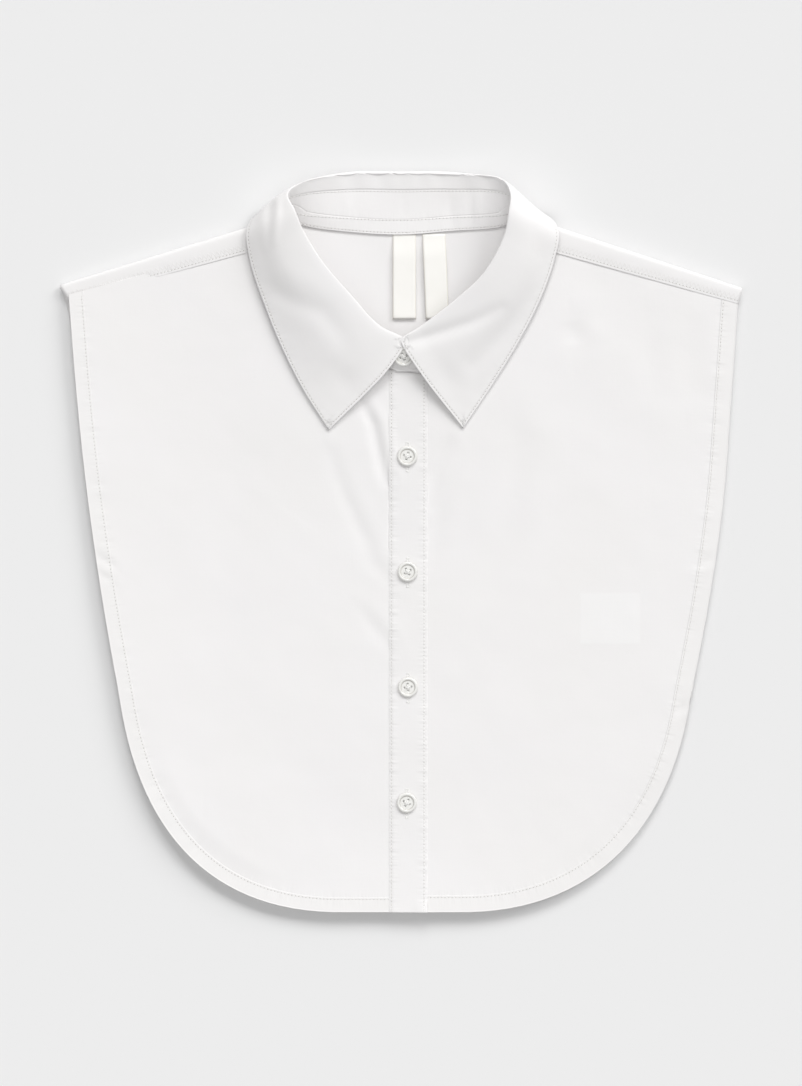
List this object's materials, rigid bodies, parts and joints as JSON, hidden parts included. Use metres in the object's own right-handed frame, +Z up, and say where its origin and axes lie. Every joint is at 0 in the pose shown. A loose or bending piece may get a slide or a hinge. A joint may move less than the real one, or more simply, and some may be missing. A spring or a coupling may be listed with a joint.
{
  "type": "detachable shirt collar",
  "caption": "White poplin detachable shirt collar with a rounded bib, buttoned up and lying flat, face up.",
  "frame": {"origin": "on the surface it lies on, under the middle of the whole outline", "axes": "+Z up from the surface, +Y towards the back of the neck, +X towards the wearer's left side"},
  "size_m": [0.3924, 0.4262, 0.0219],
  "materials": {
    "cloth": "white cotton poplin",
    "label_satin": "cream satin ribbon",
    "button_resin": "clear white resin"
  },
  "bodies": {
    "root": {"back_panel": "cloth", "front_panel_left": "cloth", "front_panel_right": "cloth", "placket": "cloth", "collar_stand": "cloth", "collar_leaf": "cloth", "label_left": "label_satin", "label_right": "label_satin", "button_neck": "button_resin", "button_1": "button_resin", "button_2": "button_resin", "button_3": "button_resin", "button_4": "button_resin"}
  },
  "joints": []
}
